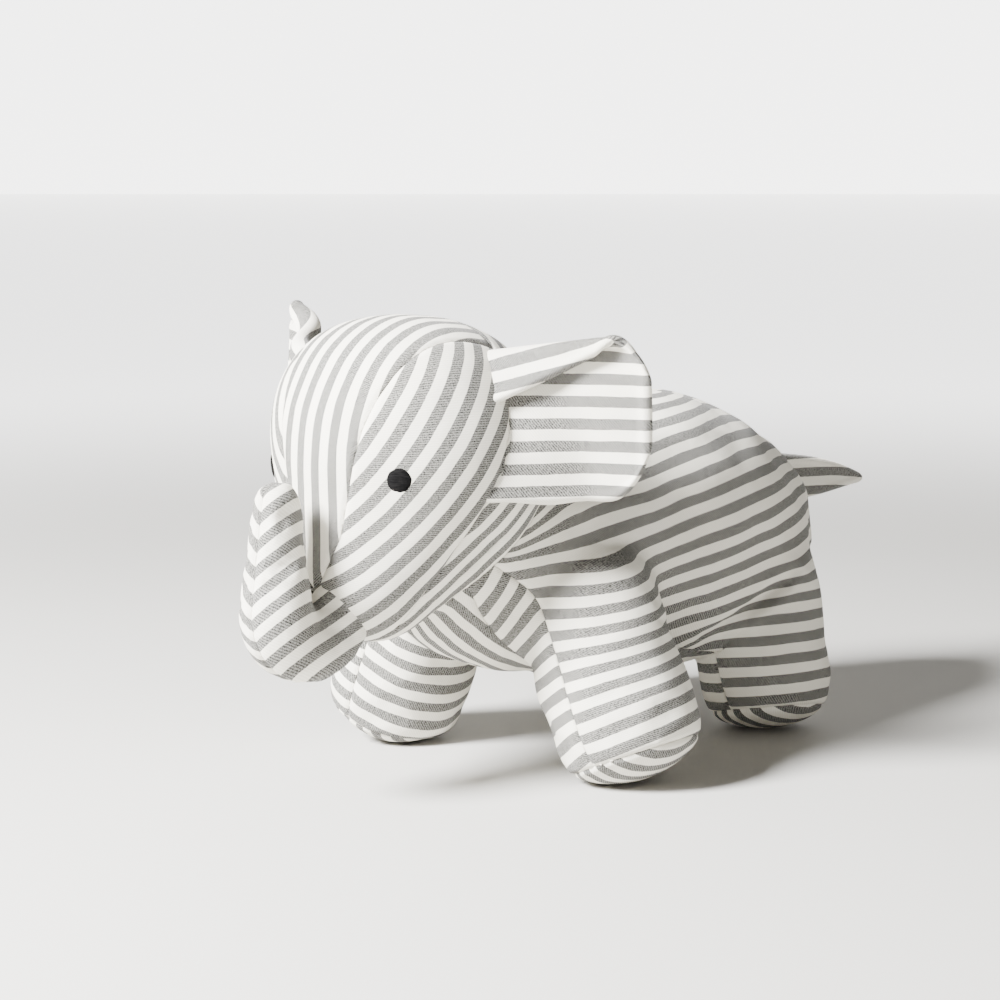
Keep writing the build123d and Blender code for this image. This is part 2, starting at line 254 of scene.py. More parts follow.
def seam_distance(p):
    """Distance to the nearest seam for points on the cloth, in metres."""
    x, y, z = p[:, 0], p[:, 1], p[:, 2]
    away = np.full(len(p), 1.0)
    neck = (p - np.array(NECK)) @ np.array(HEADWARD)
    head = neck > BAND
    body = neck < 0
    away = np.minimum(away, np.abs(neck))
    away = np.minimum(away, np.where(y < -95 * MM, np.abs(neck - BAND), 1))
    behind = (p - np.array(EAR_SEAM)) @ np.array(EAR_SEAM_BACK)
    away = np.minimum(away, np.where(head, np.abs(behind), 1))
    for side in (1, -1):
        flip = (side, 1, 1)
        upper = (p - np.array(GUSSET_POINT) * flip) @ (np.array(GUSSET_NORMAL) * flip)
        lower = (p - np.array(LOW_GUSSET_POINT) * flip) @ (np.array(LOW_GUSSET_NORMAL) * flip)
        away = np.minimum(away, np.where(head & (behind < 2 * MM), np.abs(np.maximum(upper, lower)), 1))
    away = np.minimum(away, np.where(body & (z > 60 * MM), np.abs(x), 1))
    for which in FEET:
        near_y = (y < BELLY_Y) if which == "front" else (y >= BELLY_Y)
        for side in (1, -1):
            at, down, rim = foot_plane(which, side)
            rel = p - np.array(at)
            below = rel @ np.array(down)
            off_axis = np.linalg.norm(rel - below[:, None] * np.array(down), axis=1)
            by_foot = off_axis < rim * 1.5
            away = np.minimum(away, np.where(by_foot & (np.abs(below) < 12 * MM), np.abs(below), 1))
            leg_side = rel @ np.array(leg_seam_normal(which, side))
            mine = body & near_y & (x * side > 0) & (z < FEET[which]["top"]) & (below < 3 * MM)
            away = np.minimum(away, np.where(mine, np.abs(leg_side), 1))
            away = np.minimum(away, np.where(mine & (leg_side < 0), np.abs(x * side - belly_half(y)), 1))
    return away


def swell(obj, centre, reach, amount):
    """Pushes the cloth out round a point, or in when the amount is negative."""
    co = coords(obj)
    no = normals(obj)
    near = np.exp(-(np.linalg.norm(co - np.array(centre) * MM, axis=1) / (reach * MM)) ** 2)
    set_coords(obj, co + no * (near * amount * MM)[:, None])


def on_head_now(obj):
    return ramp((coords(obj) - np.array(NECK)) @ np.array(HEADWARD), 12 * MM, 22 * MM) * 0.9


# where the cloth stands fuller than the plain filling: place, reach and amount in mm
SWELLS = [
    ((34, -136, 176), 27, 5.0),    # upper head
    ((30, -150, 150), 24, 1.5),    # brow
    ((58, -60, 97), 22, 4.0),      # shoulder
    ((61, -30, 84), 18, 2.0),
    ((46, 37, 42), 24, 8.0),       # front of the rear leg
]
for sign in (1, -1):
    for (x, y, z), reach, amount in SWELLS:
        swell(doll, (x * sign, y, z), reach, amount)
swell(doll, (0, -112, 196), 26, -1.5)
p = coords(doll)
slim = ramp(p[:, 1], 15 * MM, 95 * MM) * ramp(p[:, 2], 72 * MM, 118 * MM)
set_coords(doll, p - normals(doll) * (slim * 4.6 * MM)[:, None])
relax(doll, 2, 0.7)
away = seam_distance(coords(doll))
p = coords(doll)
on_head = ramp((p - np.array(NECK)) @ np.array(HEADWARD), 6 * MM, 14 * MM)
pinned = np.clip(1.2 - away / (3.0 * MM), 0, 0.8) * (1 - on_head)
puff(doll, pinned, 4.0, 1.9 * MM, 0.012)
relax(doll, 1, 0.8)
relax(doll, 3, on_head_now(doll))
for which in FEET:
    for sign in (1, -1):
        at, down, rim = foot_plane(which, sign)
        p = coords(doll)
        rel = p - np.array(at)
        below = rel @ np.array(down)
        by_foot = np.linalg.norm(rel - below[:, None] * np.array(down), axis=1) < rim * 1.4
        edge = np.exp(-(below / (8 * MM)) ** 2) * by_foot
        set_coords(doll, p - normals(doll) * (edge * 1.8 * MM)[:, None])

mod = doll.modifiers.new("fine", "SUBSURF")
mod.levels = mod.render_levels = 1
apply_modifiers(doll)
p = coords(doll)
p[:, 2] = np.maximum(p[:, 2], 0.0002)
set_coords(doll, p)

def crease(obj, points, depth, width):
    """Presses a soft fold into the cloth along a line of points."""
    co = coords(obj)
    no = normals(obj)
    bm = bmesh.new()
    bm.from_mesh(obj.data)
    surface = BVHTree.FromBMesh(bm)
    bm.free()
    line = [np.array(surface.find_nearest(Vector(q) * MM)[0]) for q in points]
    best = np.full(len(co), 1.0)
    along = np.zeros(len(co))
    done = 0.0
    total = sum(np.linalg.norm(b - a) for a, b in zip(line[:-1], line[1:]))
    for a, b in zip(line[:-1], line[1:]):
        run = b - a
        size = np.linalg.norm(run)
        t = np.clip((co - a) @ run / size ** 2, 0, 1)
        gap = np.linalg.norm(co - (a + t[:, None] * run), axis=1)
        closer = gap < best
        best = np.where(closer, gap, best)
        along = np.where(closer, done + t * size, along)
        done += size
    fade = np.sin(np.clip(along / total, 0.04, 0.96) * math.pi) ** 0.6
    press = -depth * np.exp(-(best / width) ** 2)
    press = press + depth * 0.45 * np.exp(-((best - 2.1 * width) / width) ** 2)
    set_coords(obj, co + no * (press * fade)[:, None])


# folds on the left side: points, depth and width in mm
CREASES = [
    ([(50, 18, 48), (52, 28, 53), (53, 42, 59), (53, 56, 65), (52, 68, 70)], 2.9, 2.7),
    ([(64, -26, 60), (67, -38, 62), (66, -52, 63), (60, -66, 64)], 0.9, 2.4),
    ([(60, 2, 96), (60, 0, 82), (58, -2, 68)], 0.6, 4.5),
    ([(44, 96, 56), (36, 108, 64), (26, 118, 70)], 0.7, 3.0),
]
for points, depth, width in CREASES:
    crease(doll, points, depth * MM, width * MM)
    crease(doll, [(-x, y, z) for x, y, z in points], depth * MM * 0.8, width * MM)
wave = coords(doll)
no = normals(doll)
ripple = np.zeros(len(wave))
rng = np.random.default_rng(7)
for size, strength in ((46, 0.6), (24, 0.34), (13, 0.15)):
    for step in range(7):
        direction = rng.normal(size=3)
        direction /= np.linalg.norm(direction)
        phase = rng.uniform(0, 6.28)
        ripple += np.sin(wave @ direction * 2 * math.pi / (size * MM) + phase) * strength / 3.2
hold = ramp(wave[:, 2], 2 * MM, 16 * MM)
calm = 0.25 + 0.75 * ramp(seam_distance(wave), 2 * MM, 14 * MM)
calm *= 0.45 + 0.55 * ramp(-((wave - np.array(NECK)) @ np.array(HEADWARD)), 0, 30 * MM)
set_coords(doll, wave + no * (ripple * MM * hold * calm)[:, None])


# ------------------------------------------------------------------------ panels
def neck_off_of(c):
    return (c - NECK).dot(HEADWARD)


def panel_of(c):
    """Which panel a face belongs to, by its middle."""
    x, y, z = c
    side = "left" if x > 0 else "right"
    sign = 1 if x > 0 else -1
    neck = neck_off_of(c)
    if neck > BAND:
        if (c - EAR_SEAM).dot(EAR_SEAM_BACK) > 0:
            return "head_back"
        upper = (c - mirrored(GUSSET_POINT, sign)).dot(mirrored(GUSSET_NORMAL, sign))
        lower = (c - mirrored(LOW_GUSSET_POINT, sign)).dot(mirrored(LOW_GUSSET_NORMAL, sign))
        return "head_side_" + side if upper > 0 or lower > 0 else "forehead_gusset"
    if neck > 0:
        return "neck_band"
    which = "front" if y < BELLY_Y else "rear"
    at, down, rim = foot_plane(which, sign)
    rel = c - at
    below = rel.dot(down)
    if below > 0 and (rel - down * below).length < rim * 1.5:
        return "foot_sole_" + which + "_" + side
    if z < FEET[which]["top"] and rel.dot(leg_seam_normal(which, sign)) < 0:
        return "belly_panel" if abs(x) < belly_half(y) else "inner_leg_" + which + "_" + side
    return "body_side_" + side


def cut(bm, point, normal, test):
    """Splits the faces that pass the test along a plane."""
    faces = [f for f in bm.faces if test(f.calc_center_median())]
    edges = set(e for f in faces for e in f.edges)
    verts = set(v for f in faces for v in f.verts)
    geom = list(verts) + list(edges) + faces
    bmesh.ops.bisect_plane(bm, geom=geom, dist=SEAM_SNAP, plane_co=point, plane_no=normal)


bm = bmesh.new()
bm.from_mesh(doll.data)
cut(bm, NECK, HEADWARD, lambda c: True)
cut(bm, NECK + HEADWARD * BAND, HEADWARD, lambda c: neck_off_of(c) > 0)
cut(bm, EAR_SEAM, EAR_SEAM_BACK, lambda c: neck_off_of(c) > BAND)
for side in (1, -1):
    cut(bm, mirrored(GUSSET_POINT, side), mirrored(GUSSET_NORMAL, side), lambda c: neck_off_of(c) > BAND
        and (c - EAR_SEAM).dot(EAR_SEAM_BACK) < 0 and c.x * side > -5 * MM)
    cut(bm, mirrored(LOW_GUSSET_POINT, side), mirrored(LOW_GUSSET_NORMAL, side), lambda c:
        neck_off_of(c) > BAND and c.y < -140 * MM and c.x * side > -2 * MM and c.z < 112 * MM)
cut(bm, Vector((0, 0, 0)), Vector((1, 0, 0)), lambda c: neck_off_of(c) < 0 and abs(c.x) < 12 * MM)
cut(bm, Vector((0, BELLY_Y, 0)), Vector((0, 1, 0)), lambda c: neck_off_of(c) < 0 and c.z < 101 * MM)
for which in FEET:
    for side in (1, -1):
        at, down, rim = foot_plane(which, side)

        def mine(c):
            return neck_off_of(c) < 0 and c.x * side > 0 and ((c.y < BELLY_Y) == (which == "front"))

        cut(bm, at, down, lambda c: mine(c) and c.z < 42 * MM
            and ((c - at) - down * (c - at).dot(down)).length < rim * 1.5)
        cut(bm, at, leg_seam_normal(which, side), lambda c: mine(c) and c.z < FEET[which]["top"] + 4 * MM)
        start = Vector((BELLY_HALF * side, BELLY_START, 0))
        slant = Vector((side, BELLY_TAPER, 0)).normalized()
        cut(bm, start, slant, lambda c: mine(c) and (c - at).dot(leg_seam_normal(which, side)) < 0)
bm.normal_update()
groups = {}
for f in bm.faces:
    groups.setdefault(panel_of(f.calc_center_median()), []).append(f.index)
doll_tree = BVHTree.FromBMesh(bm)
doll_mesh = bpy.data.meshes.new("doll_cut")
bm.to_mesh(doll_mesh)
bm.free()


def panel_object(name, mesh, indices):
    """The largest connected piece of the given faces, as an object of its own."""
    bm = bmesh.new()
    bm.from_mesh(mesh)
    keep = set(indices)
    bm.faces.ensure_lookup_table()
    bmesh.ops.delete(bm, geom=[f for f in bm.faces if f.index not in keep], context="FACES")
    islands = []
    left = set(bm.faces)
    while left:
        grow = [left.pop()]
        island = set(grow)
        while grow:
            f = grow.pop()
            for e in f.edges:
                for g in e.link_faces:
                    if g in left:
                        left.discard(g)
                        island.add(g)
                        grow.append(g)
        islands.append(island)
    islands.sort(key=len)
    for island in islands[:-1]:
        bmesh.ops.delete(bm, geom=list(island), context="FACES")
    bmesh.ops.remove_doubles(bm, verts=bm.verts, dist=0.04 * MM)
    return from_bmesh(name, bm)


def unwrap(obj, across, shift=0.0, bend=0.0, direct=False):
    """Flattens a panel to its cutting pattern in metres.

    v follows the given field of the piece as well as a flat pattern can, or exactly when direct;
    bend curves the stripes and shift moves them, in pitches.
    """
    bpy.ops.object.select_all(action="DESELECT")
    obj.select_set(True)
    bpy.context.view_layer.objects.active = obj
    if not obj.data.uv_layers:
        obj.data.uv_layers.new(name="pattern")
    bpy.ops.object.mode_set(mode="EDIT")
    bpy.ops.mesh.select_all(action="SELECT")
    bpy.ops.uv.unwrap(method="ANGLE_BASED", margin=0.0)
    bpy.ops.uv.minimize_stretch(iterations=30)
    bpy.ops.object.mode_set(mode="OBJECT")
    mesh = obj.data
    uv = np.zeros(len(mesh.loops) * 2)
    mesh.uv_layers[0].data.foreach_get("uv", uv)
    uv = uv.reshape(-1, 2)
    vertex = np.zeros(len(mesh.loops), int)
    mesh.loops.foreach_get("vertex_index", vertex)
    co = coords(obj)
    area_uv = 0.0
    area = 0.0
    for poly in mesh.polygons:
        loop = uv[poly.loop_start:poly.loop_start + poly.loop_total]
        nxt = np.roll(loop, -1, 0)
        area_uv += abs((loop[:, 0] * nxt[:, 1] - loop[:, 1] * nxt[:, 0]).sum()) / 2
        area += poly.area
    uv *= math.sqrt(area / max(area_uv, 1e-12))
    target = across(co)[vertex]
    fit = np.linalg.lstsq(np.column_stack([uv, np.ones(len(uv))]), target, rcond=None)[0]
    up = fit[:2] / np.linalg.norm(fit[:2])
    turned = np.column_stack([uv @ np.array([up[1], -up[0]]), uv @ up])
    turned -= turned.mean(0)
    if direct:
        turned[:, 1] = target
    if bend:
        radius = 1 / bend
        turned = np.column_stack([turned[:, 0], radius - np.hypot(turned[:, 0], radius - turned[:, 1])])
    turned[:, 1] += shift * PITCH
    mesh.uv_layers[0].data.foreach_set("uv", turned.ravel())


def border_points(obj, gap):
    counts = {}
    for poly in obj.data.polygons:
        for key in poly.edge_keys:
            counts[key] = counts.get(key, 0) + 1
    co = coords(obj)
    points = []
    for (a, b), n in counts.items():
        if n == 1:
            steps = max(1, int(np.linalg.norm(co[a] - co[b]) / gap))
            for k in range(steps + 1):
                points.append(co[a] + (co[b] - co[a]) * k / steps)
    return points


def tuck(obj, depth, width, pucker, seed):
    """Rolls a panel's edge in towards its seam, with the small gathers that stitches pull."""
    points = border_points(obj, 0.6 * MM)
    if not points:
        return
    tree = KDTree(len(points))
    for index, point in enumerate(points):
        tree.insert(point, index)
    tree.balance()
    co = coords(obj)
    no = normals(obj)
    away = np.zeros(len(co))
    nearest = np.zeros_like(co)
    for index, point in enumerate(co):
        found = tree.find(point)
        away[index] = found[2]
        nearest[index] = found[0]
    rng = np.random.default_rng(seed)
    gather = np.zeros(len(co))
    for size in (5.2, 7.9, 11.5, 17.0):
        direction = rng.normal(size=(3, 3))
        for k in range(3):
            d = direction[k] / np.linalg.norm(direction[k])
            gather += np.sin(nearest @ d * 2 * math.pi / (size * MM) + rng.uniform(0, 6.28)) / 6
    rolled = -depth * np.exp(-(away / width) ** 2)
    rolled += pucker * gather * np.exp(-(away / (3.2 * width)) ** 2)
    set_coords(obj, co + no * rolled[:, None])


def refine_border(obj, reach):
    """Halves the edges close to the seams so that the rolled edge is round."""
    points = border_points(obj, 1.0 * MM)
    tree = KDTree(len(points))
    for index, point in enumerate(points):
        tree.insert(point, index)
    tree.balance()
    bm = bmesh.new()
    bm.from_mesh(obj.data)
    edges = [e for e in bm.edges if tree.find((e.verts[0].co + e.verts[1].co) / 2)[2] < reach
             and e.calc_length() > 0.8 * MM]
    bmesh.ops.subdivide_edges(bm, edges=edges, cuts=1, use_grid_fill=True)
    bmesh.ops.triangulate(bm, faces=[f for f in bm.faces if len(f.verts) > 4])
    bm.to_mesh(obj.data)
    bm.free()


def thicken(obj, thickness):
    mod = obj.modifiers.new("cloth", "SOLIDIFY")
    mod.thickness = thickness
    mod.offset = -1
    apply_modifiers(obj)
    for poly in obj.data.polygons:
        poly.use_smooth = True


# --------------------------------------------------------------------- materials
def nodes_of(name):
    mat = bpy.data.materials.new(name)
    mat.use_nodes = True
    tree = mat.node_tree
    tree.nodes.clear()
    out = tree.nodes.new("ShaderNodeOutputMaterial")
    bsdf = tree.nodes.new("ShaderNodeBsdfPrincipled")
    tree.links.new(bsdf.outputs[0], out.inputs[0])
    return mat, tree, bsdf


def math_node(tree, kind, a, b=None, c=None):
    node = tree.nodes.new("ShaderNodeMath")
    node.operation = kind
    for slot, value in enumerate((a, b, c)):
        if value is None:
            continue
        if isinstance(value, (int, float)):
            node.inputs[slot].default_value = value
        else:
            tree.links.new(value, node.inputs[slot])
    return node.outputs[0]


def mix_color(tree, factor, a, b, kind="MIX"):
    node = tree.nodes.new("ShaderNodeMix")
    node.data_type = "RGBA"
    node.blend_type = kind
    for socket, value in ((node.inputs[0], factor), (node.inputs[6], a), (node.inputs[7], b)):
        if isinstance(value, (int, float)):
            socket.default_value = value
        elif isinstance(value, tuple):
            socket.default_value = (*value, 1)
        else:
            tree.links.new(value, socket)
    return node.outputs[2]


def noise(tree, vector, scale, detail, rough=0.5):
    node = tree.nodes.new("ShaderNodeTexNoise")
    node.inputs["Scale"].default_value = scale
    node.inputs["Detail"].default_value = detail
    node.inputs["Roughness"].default_value = rough
    tree.links.new(vector, node.inputs["Vector"])
    return node.outputs[0]


def stretch(tree, vector, scale, turn=0.0):
    node = tree.nodes.new("ShaderNodeMapping")
    node.inputs["Scale"].default_value = scale
    node.inputs["Rotation"].default_value = (0, 0, turn)
    tree.links.new(vector, node.inputs["Vector"])
    return node.outputs[0]


def smoothstep(tree, value, low, high):
    node = tree.nodes.new("ShaderNodeMapRange")
    node.interpolation_type = "SMOOTHSTEP"
    node.inputs[1].default_value = low
    node.inputs[2].default_value = high
    tree.links.new(value, node.inputs[0])
    return node.outputs[0]


def ticking():
    """Ivory cotton twill with grey melange stripes, from the pattern's own coordinates in metres."""
    mat, tree, bsdf = nodes_of("ticking")
    uv = tree.nodes.new("ShaderNodeUVMap")
    uv.uv_map = "pattern"
    uv = uv.outputs[0]
    parts = tree.nodes.new("ShaderNodeSeparateXYZ")
    tree.links.new(uv, parts.inputs[0])
    u, v = parts.outputs[0], parts.outputs[1]
    wobble = math_node(tree, "SUBTRACT", noise(tree, stretch(tree, uv, (60, 60, 1)), 1.0, 2.0), 0.5)
    fray = math_node(tree, "SUBTRACT", noise(tree, stretch(tree, uv, (900, 2600, 1)), 1.0, 1.0), 0.5)
    bent = math_node(tree, "MULTIPLY_ADD", wobble, 0.0009, v)
    bent = math_node(tree, "MULTIPLY_ADD", fray, 0.00042, bent)
    phase = math_node(tree, "MULTIPLY", bent, 1 / PITCH)
    saw = math_node(tree, "PINGPONG", phase, 0.5)
    stripe = smoothstep(tree, saw, 0.236, 0.262)
    # yarns: warp along the stripe, weft across it, and the diagonal of the twill
    warp = noise(tree, stretch(tree, uv, (330, 3600, 1)), 1.0, 2.0, 0.6)
    weft = noise(tree, stretch(tree, uv, (3000, 420, 1)), 1.0, 2.0, 0.6)
    ribs = math_node(tree, "ADD", math_node(tree, "MULTIPLY", u, 2 * math.pi / 0.00108),
                     math_node(tree, "MULTIPLY", v, 2 * math.pi / 0.00132))
    ribs = math_node(tree, "MULTIPLY_ADD", math_node(tree, "SUBTRACT", warp, 0.5), 3.4, ribs)
    twill = math_node(tree, "MULTIPLY_ADD", math_node(tree, "SINE", ribs), 0.5, 0.5)
    fleck = smoothstep(tree, weft, 0.42, 0.62)
    speck = noise(tree, stretch(tree, uv, (1300, 1900, 1), 0.6), 1.0, 1.0, 0.6)
    dark = smoothstep(tree, math_node(tree, "MULTIPLY_ADD", twill, 0.34, speck), 0.44, 0.90)
    grey = mix_color(tree, dark, (0.014, 0.014, 0.015), (0.225, 0.221, 0.204))
    grey = mix_color(tree, math_node(tree, "MULTIPLY", fleck, 0.22), grey, (0.42, 0.41, 0.375))
    pale = mix_color(tree, math_node(tree, "MULTIPLY", twill, 0.6), (0.72, 0.69, 0.60), (0.87, 0.845, 0.77))
    slub = math_node(tree, "MULTIPLY", smoothstep(tree, weft, 0.60, 0.80), 0.22)
    pale = mix_color(tree, slub, pale, (0.66, 0.64, 0.57))
    cloth = mix_color(tree, stripe, pale, grey)
    place = tree.nodes.new("ShaderNodeTexCoord").outputs["Object"]
    soil = noise(tree, place, 26.0, 3.0)
    worn = math_node(tree, "MULTIPLY", smoothstep(tree, soil, 0.35, 0.75), 0.10)
    cloth = mix_color(tree, worn, cloth, (0.72, 0.66, 0.55), "MULTIPLY")
    tree.links.new(cloth, bsdf.inputs["Base Color"])
    bsdf.inputs["Roughness"].default_value = 0.92
    bsdf.inputs["Specular IOR Level"].default_value = 0.05
    bsdf.inputs["Sheen Weight"].default_value = 0.08
    bsdf.inputs["Sheen Roughness"].default_value = 0.55
    height = math_node(tree, "MULTIPLY_ADD", twill, 0.55, math_node(tree, "MULTIPLY", weft, 0.5))
    height = math_node(tree, "MULTIPLY_ADD", warp, 0.6, height)
    crumple = noise(tree, place, 75.0, 4.0, 0.55)
    bump = tree.nodes.new("ShaderNodeBump")
    bump.inputs["Strength"].default_value = 0.45
    bump.inputs["Distance"].default_value = 0.00022
    tree.links.new(height, bump.inputs["Height"])
    soft = tree.nodes.new("ShaderNodeBump")
    soft.inputs["Strength"].default_value = 0.35
    soft.inputs["Distance"].default_value = 0.0016
    tree.links.new(crumple, soft.inputs["Height"])
    tree.links.new(bump.outputs[0], soft.inputs["Normal"])
    tree.links.new(soft.outputs[0], bsdf.inputs["Normal"])
    return mat


def thread_black():
    """Black satin stitch: close parallel threads with a faint sheen."""
    mat, tree, bsdf = nodes_of("thread_black")
    uv = tree.nodes.new("ShaderNodeUVMap")
    uv.uv_map = "pattern"
    lines = noise(tree, stretch(tree, uv.outputs[0], (260, 3400, 1)), 1.0, 2.0, 0.6)
    shine = smoothstep(tree, lines, 0.35, 0.7)
    color = mix_color(tree, shine, (0.0015, 0.0015, 0.0018), (0.009, 0.0085, 0.0085))
    tree.links.new(color, bsdf.inputs["Base Color"])
    bsdf.inputs["Roughness"].default_value = 0.62
    bsdf.inputs["Specular IOR Level"].default_value = 0.04
    bump = tree.nodes.new("ShaderNodeBump")
    bump.inputs["Strength"].default_value = 0.7
    bump.inputs["Distance"].default_value = 0.0003
    tree.links.new(lines, bump.inputs["Height"])
    tree.links.new(bump.outputs[0], bsdf.inputs["Normal"])
    return mat


def glowing_floor(glow_from, glow_to, glow):
    """A pale studio surface with painted light: it glows, brighter and brighter away from the toy."""
    mat, tree, bsdf = nodes_of("glowing_floor")
    place = tree.nodes.new("ShaderNodeTexCoord").outputs["Object"]
    tone = mix_color(tree, noise(tree, place, 3.0, 2.0), (0.50, 0.49, 0.465), (0.52, 0.51, 0.485))
    tree.links.new(tone, bsdf.inputs["Base Color"])
    bsdf.inputs["Roughness"].default_value = 0.9
    length = tree.nodes.new("ShaderNodeVectorMath")
    length.operation = "LENGTH"
    tree.links.new(place, length.inputs[0])
    # painted light: emission that rises from nothing at glow_from to full glow at glow_to, so the floor
    # glows though it is no lamp
    far = smoothstep(tree, length.outputs["Value"], glow_from, glow_to)
    bsdf.inputs["Emission Color"].default_value = (1, 1, 1, 1)
    tree.links.new(math_node(tree, "MULTIPLY", far, glow), bsdf.inputs["Emission Strength"])
    return mat


TICKING = ticking()
THREAD = thread_black()


def dress(obj, material, body, node):
    obj.data.materials.clear()
    obj.data.materials.append(material)
    for poly in obj.data.polygons:
        poly.use_smooth = True
    if body:
        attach(obj, body)
    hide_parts(*([node] if isinstance(node, str) else node))


def along(*direction):
    d = np.array(direction, float)
    return lambda co: co @ d


LEG_STRIPES = {
    "front": ((50, -57, 63), (-0.381, -0.14, 0.925)),
    "rear": ((40, 74, 50), (-0.12, 0.03, 0.99)),
}


def side_stripes(sign):
    """Stripes that climb to the rear, turn with the legs, and nearly keep their pitch over the back."""
    tilt = np.array((0, -math.sin(STRIPE_RISE), math.cos(STRIPE_RISE)))

    def field(co):
        y, z = co[:, 1], co[:, 2]
        level = 95 * MM
        stations = np.linspace(-100, 130, 24) * MM
        near_by = [z[np.abs(y - s) < 9 * MM] for s in stations]
        tops = np.array([heights.max() if len(heights) else level for heights in near_by])
        rise = np.maximum(np.interp(y, stations, tops) - level, 8 * MM)
        share = np.clip((z - level) / rise, 0, 1)
        arc = 52 * MM + (rise - 52 * MM) * 0.4
        up = np.where(z > level, level + arc * np.arcsin(share), z)
        body = y * tilt[1] + up * tilt[2]
        thigh = 52 * MM + (np.minimum(y, 66 * MM) - 23 * MM) * 0.41
        soft = 9 * MM + 26 * MM * ramp(y, 66 * MM, 100 * MM)
        for which, near in (
            ("front", (1 - ramp(y, -34 * MM, 36 * MM)) * (1 - ramp(z, 34 * MM, 92 * MM))),
            ("rear", ramp(y, 6 * MM, 26 * MM) * (1 - ramp(z - thigh, -8 * MM, soft))),
        ):
            body = body * (1 - near) + leg_stripes(which, sign)(co) * near
        return body
    return field


def leg_stripes(which, sign):
    """Stripes round a leg, square to its own lean."""
    hip, lean = LEG_STRIPES[which]
    hip = np.array((hip[0] * sign, hip[1], hip[2])) * MM
    lean = np.array((lean[0] * sign, lean[1], lean[2]))
    start = -hip[1] * math.sin(STRIPE_RISE) + hip[2] * math.cos(STRIPE_RISE)
    return lambda co: start + (co - hip) @ lean


# how each panel was cut: stripe field, shift, bend, direct
ACROSS = {
    "forehead_gusset": (along(1, 0, 0), 0.25),
    "head_side_left": (along(-0.2, -0.76, 0.60), 0.1, 5.2),
    "head_side_right": (along(0.2, -0.76, 0.60), 0.1, 5.2),
    "body_side_left": (side_stripes(1), 0.0, 0.0, True),
    "body_side_right": (side_stripes(-1), 0.0, 0.0, True),
    "belly_panel": (along(1, 0, 0), 0.25),
}
for which in ("front", "rear"):
    for side in ("left", "right"):
        turn = 1 if side == "left" else -1
        if which == "front":
            ACROSS["inner_leg_front_" + side] = (along(-0.38 * turn, 0, 0.92), 0.0)
        else:
            ACROSS["inner_leg_rear_" + side] = (leg_stripes("rear", turn), 0.3, 0.0, True)
        ACROSS["foot_sole_" + which + "_" + side] = (along(turn, -0.12, 0), 0.0)

# fillings that a panel stands for besides its own cloth
EXTRA = {
    "forehead_gusset": ["head_stuffing"],
    "body_side_left": ["body_stuffing"],
    "neck_band": ["neck_stuffing"],
}
for name in LEG_NAMES:
    EXTRA["foot_sole_" + name] = ["leg_stuffing_" + name]

panels = {}
for number, (name, faces) in enumerate(sorted(groups.items())):
    obj = panel_object("cloth_" + name, doll_mesh, faces)
    if name in ("neck_band", "head_back"):
        mesh = obj.data
        layer = mesh.uv_layers.new(name="pattern")
        co = coords(obj)
        centre = np.array(NECK)
        rise = np.cross(np.array(HEADWARD), (1, 0, 0))
        angle = np.arctan2((co - centre) @ rise, co[:, 0])
        for poly in mesh.polygons:
            spread = [angle[mesh.loops[k].vertex_index] for k in poly.loop_indices]
            for k, value in zip(poly.loop_indices, spread):
                if max(spread) - min(spread) > math.pi and value < 0:
                    value += FULL_TURN
                vertex = mesh.loops[k].vertex_index
                layer.data[k].uv = (value * NECK_RADIUS, (co[vertex] - centre) @ np.array(HEADWARD))
    else:
        unwrap(obj, *ACROSS[name])
    refine_border(obj, 3.0 * MM)
    tuck(obj, *PANEL_TUCK, number)
    thicken(obj, PANEL_CLOTH)
    panels[name] = obj

body_of = {n: b for b, ns in frame["record"]["behaviour"]["bodies"].items() for n in ns}
for name, obj in panels.items():
    nodes = [name] + EXTRA.get(name, [])
    if name == "neck_band":
        dress(obj, TICKING, None, nodes)
        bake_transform(obj)
    else:
        dress(obj, TICKING, body_of[name], nodes)
bpy.data.objects.remove(doll)


# ------------------------------------------------------------------------- trunk
def tube(name, stations, sides):
    """A tube through (centre, forward, radius) stations, closed at both ends by the remesh."""
    bm = bmesh.new()
    rings = []
    for centre, forward, radius in stations:
        across = Vector((1, 0, 0))
        up = forward.cross(across).normalized()
        ring = bmesh.ops.create_circle(bm, cap_ends=False, radius=radius, segments=sides)["verts"]
        for k, v in enumerate(ring):
            a = 2 * math.pi * k / sides
            v.co = centre + (across * math.cos(a) + up * math.sin(a)) * radius
        rings.append(ring)
    edges = list(bm.edges)
    for a, b in zip(rings[:-1], rings[1:]):
        pair = [e for e in edges if all(v in a for v in e.verts) or all(v in b for v in e.verts)]
        bmesh.ops.bridge_loops(bm, edges=pair)
    bmesh.ops.holes_fill(bm, edges=bm.edges[:], sides=0)
    bmesh.ops.recalc_face_normals(bm, faces=bm.faces)
    return from_bmesh(name, bm)


BEND = Vector((0, -173.2, 82.2)) * MM   # centre of the curl
BEND_R = 15.4 * MM
RISE = 42.5                             # straight length above the curl, in mm
TIP_RADIUS = 8.9
UPWARD = Vector((0, 0, 1))
FOOT_OF_RISE = BEND + Vector((0, -BEND_R, 0))
stations = []
for k in range(4):
    t = k / 4
    centre = Vector((0, -150.5, 92 - 9 * t)) * MM + Vector((0, -7.0 * MM * t, 0))
    stations.append((centre, Vector((0, -0.35, -1)).normalized(), (13.0 + 1.6 * t) * MM))
for k in range(11):
    a = math.pi * k / 10
    forward = Vector((0, -math.sin(a), -math.cos(a)))
    centre = BEND + Vector((0, math.cos(a), -math.sin(a))) * BEND_R
    stations.append((centre, forward, (14.6 + 0.5 * math.sin(a)) * MM))
for k in range(1, 13):
    t = k / 12
    radius = 14.4 + (TIP_RADIUS - 14.4) * t ** 0.92
    stations.append((FOOT_OF_RISE + Vector((0, 0.9 * t * t, RISE * t)) * MM, UPWARD, radius * MM))
